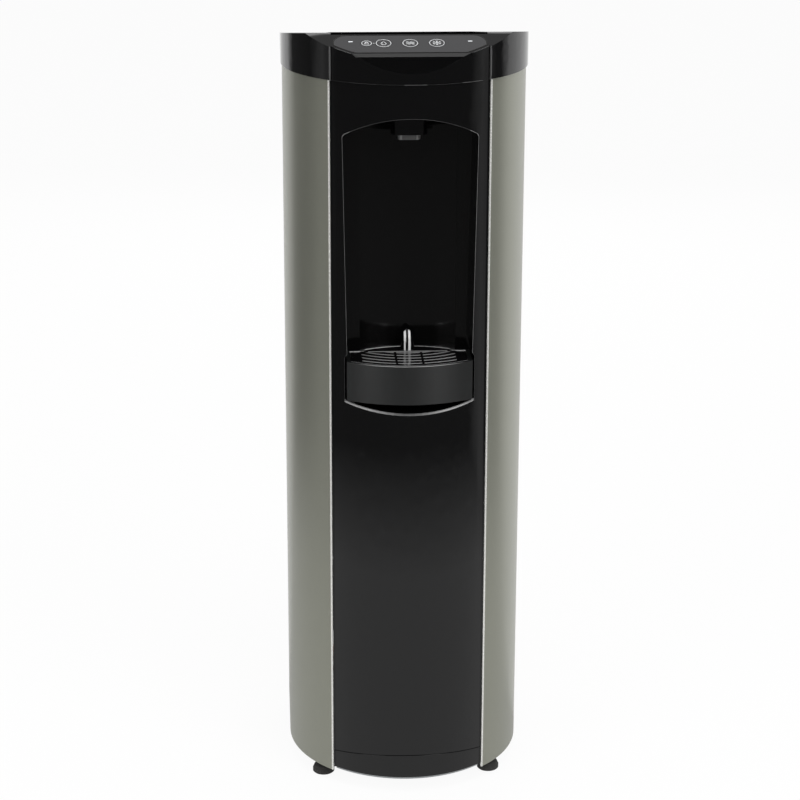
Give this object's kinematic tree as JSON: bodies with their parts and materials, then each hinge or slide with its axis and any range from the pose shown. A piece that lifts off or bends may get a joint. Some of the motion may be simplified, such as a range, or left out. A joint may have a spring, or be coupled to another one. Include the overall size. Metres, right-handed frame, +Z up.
{
  "type": "water dispenser",
  "caption": "Floor-standing water dispenser with a niche, drip tray, sloping touch panel, champagne side panels, chilled and hot tanks, and a wire condenser behind.",
  "frame": {"origin": "on the floor, under the middle of the body's box", "axes": "+X to the object's left as it faces the viewer's right, +Z up, -Y towards the user"},
  "size_m": [0.317, 0.348, 1.0048],
  "materials": {
    "gloss_black": "gloss black moulding",
    "champagne_panel": "satin champagne coated steel",
    "charcoal_plastic": "matte",
    "lens_grey": "gloss with printed icons",
    "steel": "stainless",
    "zinc_sheet": "zinc-coated sheet",
    "black_metal": "black enamel",
    "compressor_shell": "black enamel",
    "copper": "bare tube",
    "foam": "expanded foam",
    "white_plastic": "moulded",
    "blue_plastic": "moulded",
    "board": "laminate with components",
    "black_plastic": "moulded",
    "red_plastic": "moulded",
    "rubber": "moulded",
    "light_guide": "frosted"
  },
  "bodies": {
    "cabinet": {"base_pan": "zinc_sheet", "base_skirt": "gloss_black", "side_panel_left": "champagne_panel", "side_panel_right": "champagne_panel", "front_panel": "gloss_black", "niche_liner": "gloss_black", "nozzle_housing": "gloss_black", "nozzle_tip": "steel", "top_cap": "gloss_black", "control_lens": "lens_grey", "indicator_lamps": "light_guide", "button_board": "board", "rear_panel": "zinc_sheet", "condenser_tube": "black_metal", "condenser_wires": "black_metal", "condenser_brackets": "black_plastic", "compressor": "compressor_shell", "compressor_grommets": "rubber", "refrigerant_lines": "copper", "filter_drier": "copper", "bay_shelf": "zinc_sheet", "tank_shelf": "zinc_sheet", "cold_tank": "steel", "evaporator_coil": "copper", "cold_foam": "foam", "cold_foam_lid": "foam", "level_probe": "white_plastic", "hot_tank": "steel", "hot_tank_stand": "white_plastic", "band_heater": "steel", "hot_tank_jacket": "foam", "thermostats": "black_plastic", "valve_bracket": "zinc_sheet", "dispense_valves": "white_plastic", "inlet_valve": "white_plastic", "filter_cradle": "white_plastic", "filter_cartridges": "blue_plastic", "filter_heads": "white_plastic", "water_tubes": "white_plastic", "inlet_fitting": "white_plastic", "drain_spigot": "white_plastic", "cord_gland": "black_plastic", "switch_bezel": "black_plastic", "power_board": "board", "case_screws": "zinc_sheet", "foot_nuts": "zinc_sheet"},
    "drip_tray": {"drip_tray": "charcoal_plastic"},
    "drip_grille": {"drip_grille": "black_plastic"},
    "key_lock": {"key_lock": "lens_grey"},
    "key_hot": {"key_hot": "lens_grey"},
    "key_ambient": {"key_ambient": "lens_grey"},
    "key_cold": {"key_cold": "lens_grey"},
    "hot_switch": {"hot_switch": "red_plastic"},
    "drain_cap": {"drain_cap": "black_plastic"},
    "foot_front_left": {"foot_front_left": "rubber"},
    "foot_front_right": {"foot_front_right": "rubber"},
    "foot_rear_left": {"foot_rear_left": "rubber"},
    "foot_rear_right": {"foot_rear_right": "rubber"}
  },
  "joints": [
    {"name": "tray_slide", "type": "slide", "parent": "cabinet", "child": "drip_tray", "axis": [0, -1, 0], "range_m": [0, 0.14]},
    {"name": "grille_lift", "type": "slide", "parent": "drip_tray", "child": "drip_grille", "axis": [0, 0, 1], "range_m": [0, 0.05]},
    {"name": "key_lock_press", "type": "slide", "parent": "cabinet", "child": "key_lock", "axis": [0, 0.3305, -0.9438], "range_m": [0, 0.0005], "stiffness_N_per_m": 800},
    {"name": "key_hot_press", "type": "slide", "parent": "cabinet", "child": "key_hot", "axis": [0, 0.3305, -0.9438], "range_m": [0, 0.0005], "stiffness_N_per_m": 800},
    {"name": "key_ambient_press", "type": "slide", "parent": "cabinet", "child": "key_ambient", "axis": [0, 0.3305, -0.9438], "range_m": [0, 0.0005], "stiffness_N_per_m": 800},
    {"name": "key_cold_press", "type": "slide", "parent": "cabinet", "child": "key_cold", "axis": [0, 0.3305, -0.9438], "range_m": [0, 0.0005], "stiffness_N_per_m": 800},
    {"name": "hot_switch_rock", "type": "hinge", "parent": "cabinet", "child": "hot_switch", "pos_m": [-0.098, 0.148, 0.916], "axis": [0, 0, 1], "range_deg": [0, 20]},
    {"name": "drain_cap_turn", "type": "hinge", "parent": "cabinet", "child": "drain_cap", "pos_m": [0.092, 0.158, 0.241], "axis": [0, 1, 0], "range_deg": [0, 360]},
    {"name": "foot_front_left_screw", "type": "slide", "parent": "cabinet", "child": "foot_front_left", "axis": [0, 0, -1], "range_m": [0, 0.012]},
    {"name": "foot_front_right_screw", "type": "slide", "parent": "cabinet", "child": "foot_front_right", "axis": [0, 0, -1], "range_m": [0, 0.012]},
    {"name": "foot_rear_left_screw", "type": "slide", "parent": "cabinet", "child": "foot_rear_left", "axis": [0, 0, -1], "range_m": [0, 0.012]},
    {"name": "foot_rear_right_screw", "type": "slide", "parent": "cabinet", "child": "foot_rear_right", "axis": [0, 0, -1], "range_m": [0, 0.012]}
  ]
}
